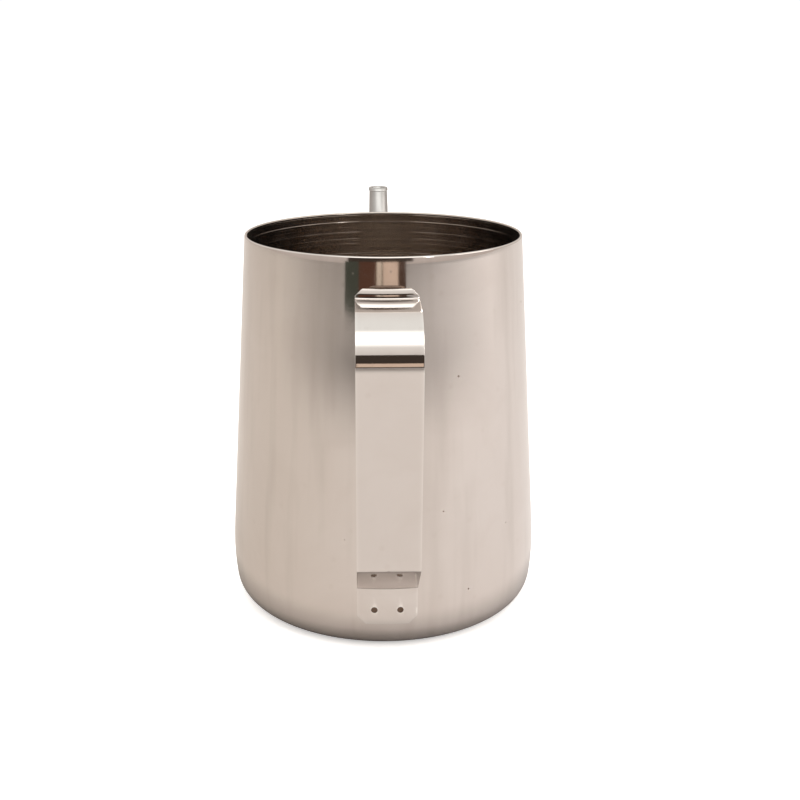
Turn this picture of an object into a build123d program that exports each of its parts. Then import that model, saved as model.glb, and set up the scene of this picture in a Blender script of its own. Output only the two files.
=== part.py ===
from build123d import *

import os
from math import acos, atan2, cos, degrees, hypot, radians, sin

# A pitcher for milk, made of polished sheet steel: a drawn body, a bent strap handle and a slim gooseneck spout.
# Millimetres. +Z is up and +X points from the handle to the spout. The origin is on the body's axis, in the
# plane that the pitcher stands on.

# Body
HEIGHT = 110.6
RIM_RADIUS = 40.0
BELLY_RADIUS = 46.0
BELLY_Z = 16.5
BELLY_ARC = 76.0
CORNER_ARC = 7.9
WALL = 0.8
FOOT_RING_WIDTH = 2.2
BASE_RECESS = 1.2
BASE_STEP_ARC = 2.0

# Handle. Its places, as (x, z), are on the strap's outer face.
STRAP = 1.0
STRAP_WIDTH = 16.8
STRAP_EDGE_ROUND = 0.3
HANDLE_TOP_Z = 100.0
HANDLE_REACH = 68.1
LOWER_BEND = (-62.0, 32.5)
FOOT_BEND = (-47.0, 20.0)
UPPER_BEND_ARC = 12.5
LOWER_BEND_ARC = 2.2
FOLD_ARC = 1.5
CREASE_ARC = 0.5
FOOT_TAB_BOTTOM = 9.1
TAB_CORNER = 2.4
LIP_TOP = 102.4
LIP_CORNER = 1.7
LIP_CREASE_ARC = 1.2

# Welds: two spot welds through the strap's foot tab, and a bead on top of its upper lip
SPOT_RADIUS = 0.85
SPOT_DENT = 0.4
SPOT_PITCH = 7.2
SPOT_Z = 13.6
LIP_BEAD_LENGTH = 10.0
LIP_BEAD_HEIGHT = 0.9
LIP_BEAD_DEPTH = 0.8
LIP_BEAD_ROUND = 0.5

# Spout. Its places, as (x, z), are on the tube's centre line.
SPOUT_ROOT = (38.0, 26.5)
SPOUT_LOWER_BEND = (60.0, 45.0)
SPOUT_UPPER_BEND = (63.5, 99.0)
SPOUT_END = (74.5, 118.0)
SPOUT_LOWER_ARC = 34.0
SPOUT_UPPER_ARC = 55.0
SPOUT_WALL = 0.7
ROOT_RADIUS = 6.6
NECK_RADIUS = 3.7
MOUTH_RADIUS = 2.9
NECK_START = 0.45
TUBE_SECTIONS = 12
MOUTH_Z = 114.4
MOUTH_LIP_HEIGHT = 0.9
MOUTH_LIP_STAND_OUT = 0.2
ROOT_WELD = 1.1
ROOT_WELD_ROUND = 0.7

# Allowances for picking edges and cutting holes
NEARLY_WHOLE = 0.95
SAME_PLACE = 0.01
HOLE_DEPTH = 1.5

# Worked out from the sizes above
CLEAR = 200.0
BELLY_CENTRE = (BELLY_RADIUS - BELLY_ARC, BELLY_Z)
FOOT_DROP = BELLY_Z - CORNER_ARC
FOOT_RUN = ((BELLY_ARC - CORNER_ARC) ** 2 - FOOT_DROP**2) ** 0.5
FOOT_RADIUS = BELLY_CENTRE[0] + FOOT_RUN
CORNER_ANGLE = degrees(atan2(FOOT_DROP, FOOT_RUN))
RIM_CENTRE = (RIM_RADIUS - WALL / 2, HEIGHT - WALL / 2)
RIM_RUN = RIM_CENTRE[0] - BELLY_CENTRE[0]
RIM_RISE = RIM_CENTRE[1] - BELLY_CENTRE[1]
TAPER = degrees(atan2(RIM_RISE, RIM_RUN) - acos((BELLY_ARC - WALL / 2) / hypot(RIM_RUN, RIM_RISE)))
STEP_ANGLE = degrees(acos(1 - BASE_RECESS / (2 * BASE_STEP_ARC)))
STEP_OUTER_RADIUS = FOOT_RADIUS - FOOT_RING_WIDTH
STEP_INNER_RADIUS = STEP_OUTER_RADIUS - 2 * BASE_STEP_ARC * sin(radians(STEP_ANGLE))
ARM_SLOPE = (LOWER_BEND[1] - FOOT_BEND[1]) / (FOOT_BEND[0] - LOWER_BEND[0])


def body_curve(inset):
    """The body's outer surface in section, moved inwards by inset, from the axis under the base up to the rim."""
    step_in_centre = (STEP_INNER_RADIUS, BASE_RECESS - BASE_STEP_ARC)
    step_in = CenterArc(step_in_centre, BASE_STEP_ARC + inset, 90, -STEP_ANGLE)
    step_out_centre = (STEP_OUTER_RADIUS, BASE_STEP_ARC)
    step_out = CenterArc(step_out_centre, BASE_STEP_ARC - inset, 270 - STEP_ANGLE, STEP_ANGLE)
    corner = CenterArc((FOOT_RADIUS, CORNER_ARC), CORNER_ARC - inset, 270, 90 - CORNER_ANGLE)
    belly = CenterArc(BELLY_CENTRE, BELLY_ARC - inset, -CORNER_ANGLE, CORNER_ANGLE + TAPER)
    rim_offset = WALL / 2 - inset
    rim_x = RIM_CENTRE[0] + rim_offset * cos(radians(TAPER))
    rim_z = RIM_CENTRE[1] + rim_offset * sin(radians(TAPER))
    base = Line((0, BASE_RECESS + inset), step_in @ 0)
    ring = Line(step_out @ 1, corner @ 0)
    wall = Line(belly @ 1, (rim_x, rim_z))
    return [base, step_in, step_out, ring, corner, belly, wall]


def turned(edges):
    """The solid that a closed section makes when it turns about the body's axis."""
    return revolve(Plane.XZ * make_face(Wire(edges)), Axis.Z)


def filled_body(inset):
    """The body as if it were solid up to its rim, with its surface moved inwards by inset."""
    curve = body_curve(inset)
    rim = curve[-1] @ 1
    lid = Line(rim, (0, rim.Y))
    axis = Line((0, rim.Y), curve[0] @ 0)
    return turned(curve + [lid, axis])


def around_wall(thickness):
    """The space that lies against the outside of the wall, to that thickness."""
    return filled_body(-thickness) - filled_body(0)


def make_body_shell():
    """The drawn cup: one wall from the recessed base to a rounded rim, with a hole into the spout."""
    outside = body_curve(0)
    inside = body_curve(WALL)
    rim = CenterArc(RIM_CENTRE, WALL / 2, TAPER, 180)
    axis = Line(outside[0] @ 0, inside[0] @ 0)
    return turned(outside + [rim] + inside + [axis]) - tube(-SPOUT_WALL)


def arm_height(x, lift):
    """The height at x of the handle arm's outer face, or of the line that lies lift above it, square to it."""
    return FOOT_BEND[1] + ARM_SLOPE * (FOOT_BEND[0] - x) + lift * hypot(1, ARM_SLOPE)


def strap_outline():
    """The strap in section: its outer face, from inside the wall at the top round to inside the wall at the foot,
    and its inner face."""
    top_start = (-RIM_RADIUS / 2, HANDLE_TOP_Z)
    top_corner = (-HANDLE_REACH, HANDLE_TOP_Z)
    foot_end = (-RIM_RADIUS, arm_height(-RIM_RADIUS, 0))
    bends = [UPPER_BEND_ARC, LOWER_BEND_ARC]
    outer_face = FilletPolyline(top_start, top_corner, LOWER_BEND, foot_end, radius=bends)
    return make_face(offset(outer_face, STRAP, side=Side.LEFT))


def below_arm():
    """Everything near the wall that lies below the arm's inner face."""
    far = LOWER_BEND[0]
    near = -RIM_RADIUS
    corners = [(far, arm_height(far, STRAP)), (near, arm_height(near, STRAP)), (near, 0), (far, 0)]
    return extrude(Plane.XZ * make_face(Polyline(*corners, close=True)), CLEAR, both=True)


def end_outline(root, tip, corner):
    """The outline of one end of the strip, seen from behind the handle and carried through to it. It runs from a
    root height to a tip height, and its corners at the tip are cut off."""
    half = STRAP_WIDTH / 2
    cut = half - corner
    turned_back = corner if root > tip else -corner
    right = [(half, root), (half, tip + turned_back), (cut, tip)]
    left = [(-cut, tip), (-half, tip + turned_back), (-half, root)]
    return extrude(Plane.YZ * make_face(Polyline(*right, *left, close=True)), -CLEAR)


def crosswise_edge(solid, x, z):
    """The edge that runs across the strap's whole width closest to a point (x, z)."""
    whole = [edge for edge in solid.edges() if edge.length > NEARLY_WHOLE * STRAP_WIDTH]
    return min(whole, key=lambda edge: hypot(edge.center().X - x, edge.center().Z - z))


def side_edges(solid):
    """The edges of the strap's two cut sides."""
    half = STRAP_WIDTH / 2
    return [edge for edge in solid.edges() if abs(abs(edge.center().Y) - half) < SAME_PLACE]


def spot_pins():
    """Two level cylinders through the foot tab, where its spot welds are."""
    pin = Cylinder(SPOT_RADIUS, CLEAR, align=(Align.CENTER, Align.CENTER, Align.MIN))
    level = Rot(0, -90, 0) * pin
    return [Pos(0, side * SPOT_PITCH / 2, SPOT_Z) * level for side in (-1, 1)]


def make_handle_strap():
    """A strip bent into a loop. Its foot is folded down into a tab and its top end up into a short lip, and both
    fit the wall's curve."""
    strip = extrude(Plane.XZ * strap_outline(), STRAP_WIDTH / 2, both=True) - filled_body(0)
    sleeve = around_wall(STRAP)
    lip = sleeve & end_outline(HANDLE_TOP_Z - STRAP, LIP_TOP, LIP_CORNER)
    foot_tab = sleeve & end_outline(FOOT_BEND[1] + STRAP, FOOT_TAB_BOTTOM, TAB_CORNER) & below_arm()
    strap = strip + lip + foot_tab
    wall_x = FOOT_BEND[0] + STRAP
    strap = fillet(crosswise_edge(strap, -RIM_RADIUS - STRAP, HANDLE_TOP_Z), LIP_CREASE_ARC)
    strap = fillet(crosswise_edge(strap, *FOOT_BEND), CREASE_ARC)
    strap = fillet(crosswise_edge(strap, -RIM_RADIUS, HANDLE_TOP_Z - STRAP), FOLD_ARC)
    strap = fillet(crosswise_edge(strap, wall_x, arm_height(wall_x, STRAP)), FOLD_ARC)
    strap = fillet(side_edges(strap), STRAP_EDGE_ROUND)
    holes = around_wall(HOLE_DEPTH)
    for pin in spot_pins():
        strap = strap - (pin & holes)
    return strap


def make_spot_welds():
    """The fused metal at the foot tab's two spot welds, a little below the tab's face."""
    fused = around_wall(STRAP - SPOT_DENT)
    return [pin & fused for pin in spot_pins()]


def make_lip_bead():
    """The short bead of weld along the top edge of the strap's lip, in its corner with the wall."""
    long_box = Box(CLEAR, LIP_BEAD_LENGTH, LIP_BEAD_HEIGHT, align=(Align.MAX, Align.CENTER, Align.MIN))
    bead = around_wall(LIP_BEAD_DEPTH) & (Pos(0, 0, LIP_TOP) * long_box)
    top_edges = bead.edges().group_by(Axis.Z)[-1]
    outer_edge = min(top_edges, key=lambda edge: edge.center().X)
    return fillet(outer_edge, LIP_BEAD_ROUND)


def tube_radius(share):
    """The spout's outer radius at a share of its length: wide at the root, slim in the neck, drawn in at the mouth."""
    if share < NECK_START:
        return NECK_RADIUS + (ROOT_RADIUS - NECK_RADIUS) * (1 - share / NECK_START) ** 2
    return NECK_RADIUS + (MOUTH_RADIUS - NECK_RADIUS) * ((share - NECK_START) / (1 - NECK_START)) ** 2


def tube(grow):
    """The spout filled solid, with its surface moved outwards by grow, from inside the body to past the mouth."""
    corners = [SPOUT_ROOT, SPOUT_LOWER_BEND, SPOUT_UPPER_BEND, SPOUT_END]
    line = FilletPolyline(*corners, radius=[SPOUT_LOWER_ARC, SPOUT_UPPER_ARC])
    route = (Plane.XZ * line).wire()
    sections = []
    for step in range(TUBE_SECTIONS + 1):
        share = step / TUBE_SECTIONS
        circle = Circle(tube_radius(share) + grow)
        sections.append((Plane(route.location_at(share)) * circle).face())
    return loft(sections)


def below(z):
    """Everything below that height."""
    return Pos(0, 0, z) * Box(CLEAR, CLEAR, CLEAR, align=(Align.CENTER, Align.CENTER, Align.MAX))


def make_spout_tube():
    """A tapered gooseneck tube. Its root fits the wall, and its mouth is cut level and has a small lip."""
    bore = tube(-SPOUT_WALL)
    pipe = tube(0) & below(MOUTH_Z)
    lip = tube(MOUTH_LIP_STAND_OUT) & (below(MOUTH_Z) - below(MOUTH_Z - MOUTH_LIP_HEIGHT))
    return pipe + lip - bore - filled_body(0)


def make_root_weld():
    """The bead of weld in the corner between the spout's root and the wall."""
    bead = (tube(ROOT_WELD) & around_wall(ROOT_WELD)) - tube(0)
    long_edges = bead.edges().sort_by(Edge.length)[-4:]
    outer_edges = long_edges.sort_by(Axis.X)[-2:]
    return fillet(outer_edges, ROOT_WELD_ROUND)


def write(name, solids):
    """Writes one sub-part."""
    export_step(Compound(children=list(solids)), os.path.join("parts", name + ".step"))


os.makedirs("parts", exist_ok=True)
write("body_shell", [make_body_shell()])
write("handle_strap", [make_handle_strap()])
write("handle_foot_spot_welds", make_spot_welds())
write("handle_top_weld", [make_lip_bead()])
write("spout_tube", [make_spout_tube()])
write("spout_root_weld", [make_root_weld()])
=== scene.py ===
from math import acos, atan2, cos, hypot, pi, radians, sin, sqrt, tan

import bmesh
import bpy
from mathutils import Euler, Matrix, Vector


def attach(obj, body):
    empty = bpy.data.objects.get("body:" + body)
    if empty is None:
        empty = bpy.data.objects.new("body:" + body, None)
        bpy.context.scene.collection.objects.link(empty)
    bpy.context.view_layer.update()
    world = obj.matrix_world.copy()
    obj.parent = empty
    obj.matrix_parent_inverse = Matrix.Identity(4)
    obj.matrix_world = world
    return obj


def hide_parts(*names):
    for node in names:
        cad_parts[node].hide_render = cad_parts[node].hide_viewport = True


# A milk pitcher of polished sheet steel: a drawn cup, a bent strap handle and a slim gooseneck spout.
# Metres. +Z is up and +X points from the handle to the spout. The origin is on the cup's axis, in the plane
# that it stands on.

MM = 0.001
ROUND = 2 * pi

# Cup
HEIGHT = 110.6 * MM
RIM_RADIUS = 40.0 * MM
BELLY_RADIUS = 46.0 * MM
BELLY_Z = 16.5 * MM
BELLY_ARC = 76.0 * MM
CORNER_ARC = 7.9 * MM
WALL = 0.8 * MM
FOOT_RING_WIDTH = 2.2 * MM
BASE_RECESS = 1.2 * MM
BASE_STEP_ARC = 2.0 * MM
CUP_SEGMENTS = 256
WALL_CUTS = 44
INSIDE_CORNER_Z = 9.0 * MM

# Strap handle. Its places, as (x, z), are on the strap's outer face.
STRAP = 1.0 * MM
STRAP_WIDTH = 16.8 * MM
STRAP_EDGE_ROUND = 0.28 * MM
STRAP_COLUMNS = 28
HANDLE_MIDDLE_Z = 50.0 * MM
HANDLE_TOP_Z = 100.0 * MM
HANDLE_REACH = 68.1 * MM
LOWER_BEND = (-62.0 * MM, 32.5 * MM)
FOOT_BEND = (-47.0 * MM, 20.0 * MM)
UPPER_BEND_ARC = 12.5 * MM
LOWER_BEND_ARC = 2.2 * MM
CREASE_ARC = 0.5 * MM
FOOT_TAB_BOTTOM = 9.1 * MM
TAB_CORNER = 2.4 * MM
LIP_TOP = 102.4 * MM
LIP_CORNER = 1.7 * MM
LIP_CREASE_ARC = 0.35 * MM
LIP_STAND_OUT = 0.50 * MM
LIP_LEAN_HEIGHT = 1.25 * MM

# Welds on the handle
SPOT_RADIUS = 0.85 * MM
SPOT_DENT = 0.4 * MM
SPOT_PITCH = 7.2 * MM
SPOT_Z = 13.6 * MM
LIP_BEAD_LENGTH = 10.0 * MM
LIP_BEAD_HEIGHT = 0.9 * MM
LIP_BEAD_DEPTH = 0.8 * MM
LIP_BEAD_RIPPLES = 13

# Spout. Its places, as (x, z), are on the tube's centre line.
SPOUT_ROOT = (38.0 * MM, 26.5 * MM)
SPOUT_LOWER_BEND = (60.0 * MM, 45.0 * MM)
SPOUT_UPPER_BEND = (63.5 * MM, 99.0 * MM)
SPOUT_END = (74.5 * MM, 118.0 * MM)
SPOUT_LOWER_ARC = 34.0 * MM
SPOUT_UPPER_ARC = 55.0 * MM
SPOUT_WALL = 0.7 * MM
ROOT_RADIUS = 6.6 * MM
NECK_RADIUS = 3.7 * MM
MOUTH_RADIUS = 2.9 * MM
NECK_START = 0.45
MOUTH_Z = 114.4 * MM
MOUTH_LIP_HEIGHT = 0.9 * MM
MOUTH_LIP_STAND_OUT = 0.2 * MM
TUBE_SIDES = 72
BEAD_RADIUS = 0.95 * MM
BEAD_POINTS = 216
BEAD_RIPPLES = 36

# The table as the steel sees it, with painted light and shade: a painted lit tone, cool, towards the window
# at -Y, a painted shaded tone, warm, towards +Y, a painted shadow far off on the handle's side, and painted
# contact shade close to the cup. Distances from the axis are in metres.
WINDOW_LIT_SIDE = (0.85, 0.82, 0.82)
SHADED_SIDE = (0.71, 0.66, 0.62)
FAR_PAINTED_SHADOW = 0.5
FAR_BAND = (0.28, 0.62)
CONTACT_SHADE = 0.40
CONTACT_BAND = (0.038, 0.066)

# The room: its colours from the horizon to straight up, and the tones that the camera sees instead. Metres.
ROOM_COLOURS = (
    (0.0, (0.66, 0.58, 0.53)), (0.3, (0.80, 0.74, 0.69)),
    (0.6, (1.0, 0.95, 0.90)), (1.0, (1.12, 1.12, 1.08)))
SEEN_ROOM = 1.05
SEEN_FLOOR = 0.95
SEEN_FLOOR_LIFT = 0.45
FLOOR_SIZE = 12
FLOOR_DROP = 0.05 * MM

# Upright boards in front of the handle that stand for a person in a dark coat: y from and to, z from and to,
# and colour. Metres.
PERSON_X = -0.62
PERSON = {
    "coat_top": (-0.24, 0.34, 0.128, 0.33, (0.060, 0.045, 0.036)),
    "coat_left": (0.225, 0.37, 0.028, 0.128, (0.075, 0.080, 0.062)),
    "coat_brown": (0.070, 0.225, 0.028, 0.128, (0.120, 0.055, 0.035)),
    "coat_light": (0.028, 0.070, 0.050, 0.128, (0.85, 0.70, 0.56)),
    "coat_line": (0.020, 0.028, 0.028, 0.128, (0.05, 0.04, 0.03)),
    "hand": (-0.108, 0.020, 0.054, 0.128, (0.85, 0.64, 0.50)),
    "coat_right": (-0.175, -0.108, 0.028, 0.128, (0.09, 0.05, 0.035)),
    "coat_low": (-0.108, 0.070, 0.030, 0.050, (0.07, 0.045, 0.03)),
}

# Camera
CAMERA_DISTANCE = 343.0 * MM
CAMERA_HEIGHT = 166.4 * MM
CAMERA_TURN = radians(1.4)
CAMERA_DOWN = radians(17.28)
LENS = 53.55
SENSOR = 36
FRAME_SHIFT = 0.0209

# Worked out from the sizes above
BELLY_CENTRE = (BELLY_RADIUS - BELLY_ARC, BELLY_Z)
FOOT_DROP = BELLY_Z - CORNER_ARC
FOOT_RUN = sqrt((BELLY_ARC - CORNER_ARC) ** 2 - FOOT_DROP**2)
FOOT_RADIUS = BELLY_CENTRE[0] + FOOT_RUN
CORNER_ANGLE = atan2(FOOT_DROP, FOOT_RUN)
RIM_CENTRE = (RIM_RADIUS - WALL / 2, HEIGHT - WALL / 2)
RIM_RUN = RIM_CENTRE[0] - BELLY_CENTRE[0]
RIM_RISE = RIM_CENTRE[1] - BELLY_CENTRE[1]
TAPER = atan2(RIM_RISE, RIM_RUN) - acos((BELLY_ARC - WALL / 2) / hypot(RIM_RUN, RIM_RISE))
STEP_ANGLE = acos(1 - BASE_RECESS / (2 * BASE_STEP_ARC))
STEP_OUTER_RADIUS = FOOT_RADIUS - FOOT_RING_WIDTH
STEP_INNER_RADIUS = STEP_OUTER_RADIUS - 2 * BASE_STEP_ARC * sin(STEP_ANGLE)
WALL_START_Z = BELLY_CENTRE[1] + BELLY_ARC * sin(TAPER)
WALL_START_RADIUS = BELLY_CENTRE[0] + BELLY_ARC * cos(TAPER)


# ---------------------------------------------------------------- tools

def deselect():
    """Nothing is selected, in object mode."""
    bpy.ops.object.select_all(action="DESELECT")


def take(obj):
    """Makes one object the only selected one, and the active one."""
    deselect()
    obj.select_set(True)
    bpy.context.view_layer.objects.active = obj


def settle():
    """Writes the selected object's place, turn and size into its mesh."""
    bpy.ops.object.transform_apply(location=True, rotation=True, scale=True)


def edit(obj, mode="VERT"):
    """Opens one object for editing, with nothing in it selected."""
    take(obj)
    bpy.ops.object.mode_set(mode="EDIT")
    bpy.ops.mesh.select_mode(type=mode)
    bpy.ops.mesh.select_all(action="DESELECT")


def pick(kind, test):
    """Selects the verts, edges or faces of the open object that pass a test, and no others."""
    bpy.ops.mesh.select_all(action="DESELECT")
    mesh = bpy.context.edit_object.data
    work = bmesh.from_edit_mesh(mesh)
    for element in getattr(work, kind):
        if test(element):
            element.select_set(True)
    work.select_flush_mode()
    bmesh.update_edit_mesh(mesh)


def leave():
    """Back to object mode."""
    bpy.ops.object.mode_set(mode="OBJECT")


def close_up(gap):
    """Merges points closer than a gap, turns the faces outwards, and goes back to object mode."""
    bpy.ops.mesh.select_all(action="SELECT")
    bpy.ops.mesh.remove_doubles(threshold=gap)
    bpy.ops.mesh.normals_make_consistent(inside=False)
    leave()


def add_modifier(obj, kind, **values):
    """Adds a modifier to an object and applies it."""
    take(obj)
    modifier = obj.modifiers.new(kind.title(), kind)
    for name, value in values.items():
        setattr(modifier, name, value)
    bpy.ops.object.modifier_apply(modifier=modifier.name)


def cut_away(obj, cutter):
    """Takes the cutter's volume out of an object, and removes the cutter."""
    add_modifier(obj, "BOOLEAN", operation="DIFFERENCE", object=cutter, solver="EXACT")
    bpy.data.objects.remove(cutter)


def smooth(obj, angle):
    """Smooth shading, with edges sharper than the angle kept sharp."""
    take(obj)
    bpy.ops.object.shade_smooth_by_angle(angle=radians(angle))


def start_chain(name, x, z):
    """Opens a new object that is one point, at (x, z) in the plane through the handle and the spout."""
    deselect()
    bpy.ops.mesh.primitive_plane_add(size=MM, location=(x, 0, z))
    obj = bpy.context.object
    obj.name = name
    settle()
    bpy.ops.object.mode_set(mode="EDIT")
    bpy.ops.mesh.select_mode(type="VERT")
    bpy.ops.mesh.select_all(action="SELECT")
    bpy.ops.mesh.merge(type="CENTER")
    return obj


def pull(dx, dz):
    """Extrudes what is selected along a straight run."""
    bpy.ops.mesh.extrude_region_move(TRANSFORM_OT_translate={"value": (dx, 0, dz)})


def turn(centre, angle, steps):
    """Spins what is selected about a centre (x, z), from +X towards +Z if the angle is positive."""
    middle = (centre[0], 0, centre[1])
    bpy.ops.mesh.spin(steps=steps, angle=angle, center=middle, axis=(0, 1, 0))


def join(name, objects):
    """Joins several objects into one."""
    deselect()
    for obj in objects:
        obj.select_set(True)
    bpy.context.view_layer.objects.active = objects[0]
    if len(objects) > 1:
        bpy.ops.object.join()
    objects[0].name = name
    return objects[0]


# ---------------------------------------------------------------- cup

def wall_radius(z, grow=0.0):
    """The radius of the cup's outer surface at a height above the foot's corner, moved outwards by grow."""
    if z > WALL_START_Z:
        return WALL_START_RADIUS - (z - WALL_START_Z) * tan(TAPER) + grow / cos(TAPER)
    return BELLY_CENTRE[0] + sqrt((BELLY_ARC + grow) ** 2 - (z - BELLY_Z) ** 2)


def on_arc(centre, radius, angle):
    """A point on an arc, as (x, z)."""
    return centre[0] + radius * cos(angle), centre[1] + radius * sin(angle)


def draw_wall_section():
    """The closed section of the wall, from the axis under the base up to the rim and back down inside."""
    step_in = (STEP_INNER_RADIUS, BASE_RECESS - BASE_STEP_ARC)
    step_out = (STEP_OUTER_RADIUS, BASE_STEP_ARC)
    corner = (FOOT_RADIUS, CORNER_ARC)
    wall_foot = on_arc(BELLY_CENTRE, BELLY_ARC, TAPER)
    wall_top = on_arc(RIM_CENTRE, WALL / 2, TAPER)
    rise = (wall_top[0] - wall_foot[0], wall_top[1] - wall_foot[1])
    cup = start_chain("cup", 0, BASE_RECESS)
    pull(STEP_INNER_RADIUS, 0)
    turn(step_in, -STEP_ANGLE, 8)
    turn(step_out, STEP_ANGLE, 8)
    pull(FOOT_RING_WIDTH, 0)
    turn(corner, pi / 2 - CORNER_ANGLE, 26)
    turn(BELLY_CENTRE, CORNER_ANGLE + TAPER, 14)
    pull(*rise)
    turn(RIM_CENTRE, pi, 10)
    pull(-rise[0], -rise[1])
    turn(BELLY_CENTRE, -CORNER_ANGLE - TAPER, 14)
    turn(corner, CORNER_ANGLE - pi / 2, 20)
    pull(-FOOT_RING_WIDTH, 0)
    turn(step_out, -STEP_ANGLE, 6)
    turn(step_in, STEP_ANGLE, 6)
    pull(-STEP_INNER_RADIUS, 0)
    pick("edges", lambda edge: edge.calc_length() > WALL_CUTS * MM)
    bpy.ops.mesh.subdivide(number_cuts=WALL_CUTS)
    pick("edges", lambda edge: edge.calc_length() > STEP_INNER_RADIUS * 0.9)
    bpy.ops.mesh.subdivide(number_cuts=12)
    return cup


def make_cup():
    """The drawn cup: its section spun about the axis, with a hole into the spout."""
    cup = draw_wall_section()
    bpy.ops.mesh.select_all(action="SELECT")
    bpy.ops.mesh.spin(steps=CUP_SEGMENTS, angle=ROUND, center=(0, 0, 0), axis=(0, 0, 1))
    close_up(MM / 100)
    cut_away(cup, make_tube("bore", -SPOUT_WALL, 0.45))
    smooth(cup, 35)
    return cup


def is_inside(face):
    """True for a face of the cup's inner surface."""
    radial = face.normal.x * face.center.x + face.normal.y * face.center.y
    if face.center.z < INSIDE_CORNER_Z:
        return face.normal.z > 0.05
    return radial < 0


# ---------------------------------------------------------------- strap handle

def sag(y, z, grow):
    """How far the wall curves back, at a distance y to the side of the handle's middle."""
    radius = wall_radius(z, grow)
    return radius - sqrt(radius**2 - y**2)


def corner_arc(before, corner, after, radius, steps):
    """The points that round a corner of the strap's line."""
    back = (Vector(before) - Vector(corner)).normalized()
    ahead = (Vector(after) - Vector(corner)).normalized()
    half = back.angle(ahead) / 2
    centre = Vector(corner) + (back + ahead).normalized() * radius / sin(half)
    first = Vector(corner) + back * radius / tan(half) - centre
    swept = pi - 2 * half
    side = 1 if back.x * ahead.y - back.y * ahead.x < 0 else -1
    start = atan2(first.y, first.x)
    points = []
    for step in range(steps + 1):
        angle = start + side * swept * step / steps
        points.append(on_arc(centre, radius, angle))
    return points


def strap_line():
    """The strap's outer face in section: down the lip at its top, round the loop, and down the foot tab."""
    lip_wall_x = -wall_radius(LIP_TOP, STRAP)
    crease_x = lip_wall_x - LIP_STAND_OUT
    crease = (crease_x, HANDLE_TOP_Z)
    upright = (crease_x, LIP_TOP)
    top = (-HANDLE_REACH, HANDLE_TOP_Z)
    foot_wall = (-wall_radius(FOOT_BEND[1] + STRAP, STRAP), FOOT_BEND[1])
    points = []
    for share in (0.0, 0.5, 0.85):
        points.append((lip_wall_x - share * LIP_STAND_OUT, LIP_TOP - share * LIP_LEAN_HEIGHT))
    points.append((crease_x, LIP_TOP - 1.15 * LIP_LEAN_HEIGHT))
    points += corner_arc(upright, crease, top, LIP_CREASE_ARC, 8)
    points += corner_arc(crease, top, LOWER_BEND, UPPER_BEND_ARC, 40)
    points += corner_arc(top, LOWER_BEND, foot_wall, LOWER_BEND_ARC, 12)
    points += corner_arc(LOWER_BEND, foot_wall, (foot_wall[0], FOOT_TAB_BOTTOM), CREASE_ARC, 8)
    for step in range(1, 7):
        z = FOOT_BEND[1] - CREASE_ARC - (FOOT_BEND[1] - CREASE_ARC - FOOT_TAB_BOTTOM) * step / 6
        points.append((-wall_radius(z, STRAP), z))
    return points


def fit_to_wall(strap):
    """Moves the columns of both ends of the strap back, so that they follow the wall's curve across."""
    lip_end = -RIM_RADIUS - 3.2 * MM
    foot_end = FOOT_BEND[0] - 0.6 * MM
    edit(strap)
    for column in range(STRAP_COLUMNS + 1):
        y = -STRAP_WIDTH / 2 + STRAP_WIDTH * column / STRAP_COLUMNS
        near = STRAP_WIDTH / STRAP_COLUMNS / 4
        pick("verts", lambda vert: abs(vert.co.y - y) < near
             and vert.co.z > HANDLE_MIDDLE_Z and vert.co.x > lip_end)
        bpy.ops.transform.translate(value=(sag(y, LIP_TOP, STRAP), 0, 0))
        pick("verts", lambda vert: abs(vert.co.y - y) < near
             and vert.co.z < HANDLE_MIDDLE_Z and vert.co.x > foot_end)
        bpy.ops.transform.translate(value=(sag(y, SPOT_Z, STRAP), 0, 0))
    leave()


def trim_end_corners(strap):
    """Cuts the corners off both ends of the strip."""
    edit(strap, "FACE")
    ends = (
        (FOOT_TAB_BOTTOM, TAB_CORNER, -1, 0, 18 * MM),
        (LIP_TOP, LIP_CORNER, 1, HANDLE_TOP_Z + 0.1 * MM, HEIGHT))
    for tip, corner, way, low, high in ends:
        for side in (-1, 1):
            pick("faces", lambda face: low < face.calc_center_median().z < high)
            cut = (0, side * STRAP_WIDTH / 2, tip - way * corner)
            bpy.ops.mesh.bisect(plane_co=cut, plane_no=(0, side, way), clear_outer=True, clear_inner=False)
    leave()


def spot_places(depth):
    """Where the foot tab's spot welds are, at a depth outside the wall, and the direction each faces."""
    places = []
    for side in (-1, 1):
        y = side * SPOT_PITCH / 2
        radius = wall_radius(SPOT_Z, depth)
        x = -sqrt(radius**2 - y**2)
        places.append((Vector((x, y, SPOT_Z)), Vector((x, y, 0)).normalized()))
    return places


def spot_cutters():
    """One object with a short cone at each spot weld, to sink the dimples into the foot tab."""
    cones = []
    for place, outwards in spot_places(STRAP):
        deselect()
        turned = Vector((0, 0, 1)).rotation_difference(outwards).to_euler()
        bpy.ops.mesh.primitive_cone_add(
            vertices=40, radius1=SPOT_RADIUS * 0.72, radius2=SPOT_RADIUS * 1.22,
            depth=1.5 * STRAP, location=place - outwards * 0.25 * STRAP, rotation=turned)
        settle()
        cones.append(bpy.context.object)
    return join("dimples", cones)


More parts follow.
